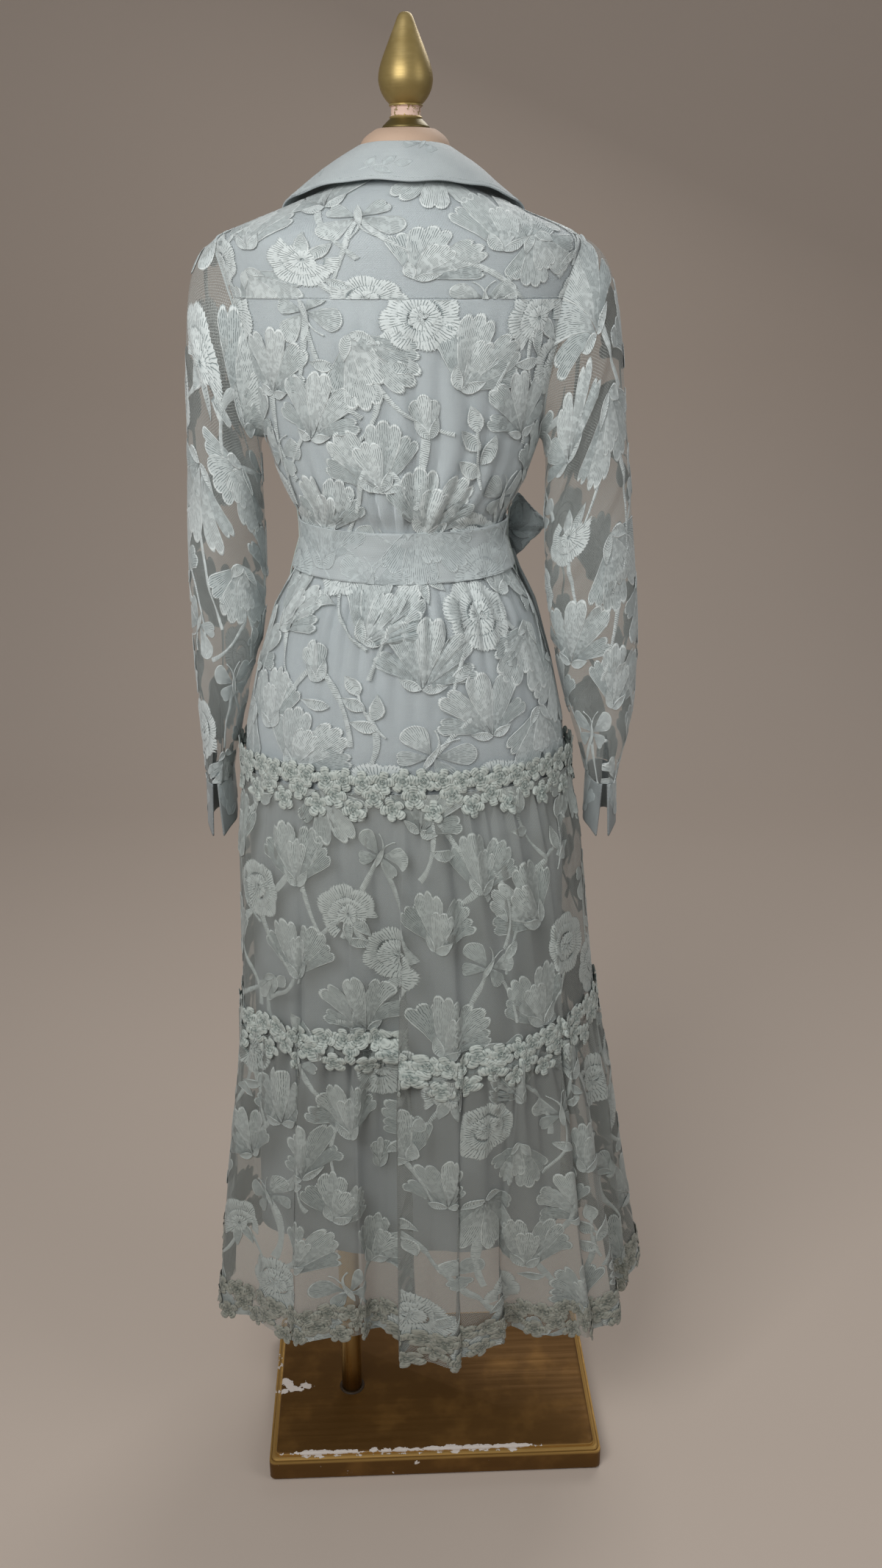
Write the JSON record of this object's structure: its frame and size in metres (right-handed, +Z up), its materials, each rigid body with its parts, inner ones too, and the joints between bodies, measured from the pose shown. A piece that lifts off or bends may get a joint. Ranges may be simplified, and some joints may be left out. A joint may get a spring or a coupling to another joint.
{
  "type": "lace shirt dress on a limbless dress form",
  "caption": "Long belted shirt dress of corded flower lace over a plain lining, with sheer sleeves and flower trims, on a limbless dress form with a gilded stand.",
  "frame": {"origin": "on the floor under the middle of the body, inside the stand's base outline", "axes": "+Z up; the back of the dress faces -Y and the front +Y; +X is the wearer's right"},
  "size_m": [0.5924, 0.3432, 1.75],
  "materials": {
    "lace": "sheer net with raised corded flowers in matte pale blue-grey thread",
    "lining": "plain satin-backed woven lining, soft sheen",
    "lined_lace": "lace laid over the lining cloth, matte with fine rib",
    "trim": "chemical lace of small flowers, matte",
    "button": "pearly, glossy",
    "form": "matte skin-toned coating, finely textured",
    "gold_paint": "bronze-gold paint, worn and chipped to white ground",
    "gold_metal": "polished gold-coloured tube",
    "gold_wood": "olive-gold paint, satin, worn at the neck"
  },
  "bodies": {
    "root": {"base_board": "gold_paint", "belt": "lined_lace", "belt_knot": "lined_lace", "belt_loop_left": "lined_lace", "belt_loop_right": "lined_lace", "bodice_back": "lace", "bodice_front_left": "lace", "bodice_front_right": "lace", "bow_loop_front": "lined_lace", "bow_loop_side": "lined_lace", "bow_tail_long": "lined_lace", "bow_tail_short": "lined_lace", "button_1": "button", "button_2": "button", "button_3": "button", "button_4": "button", "button_5": "button", "collar_leaf": "lined_lace", "collar_stand": "lined_lace", "cuff_left": "lined_lace", "cuff_right": "lined_lace", "finial": "gold_wood", "form_torso": "form", "lining_back": "lining", "lining_front_left": "lining", "lining_front_right": "lining", "placket": "lace", "skirt_bottom_back": "lace", "skirt_bottom_front": "lace", "skirt_middle_back": "lace", "skirt_middle_front": "lace", "skirt_top_back": "lace", "skirt_top_front": "lace", "sleeve_left": "lace", "sleeve_right": "lace", "slip_back": "lining", "slip_front": "lining", "stand_pole": "gold_metal", "trim_hem": "trim", "trim_hip": "trim", "trim_knee": "trim", "yoke_back": "lace"}
  },
  "joints": []
}
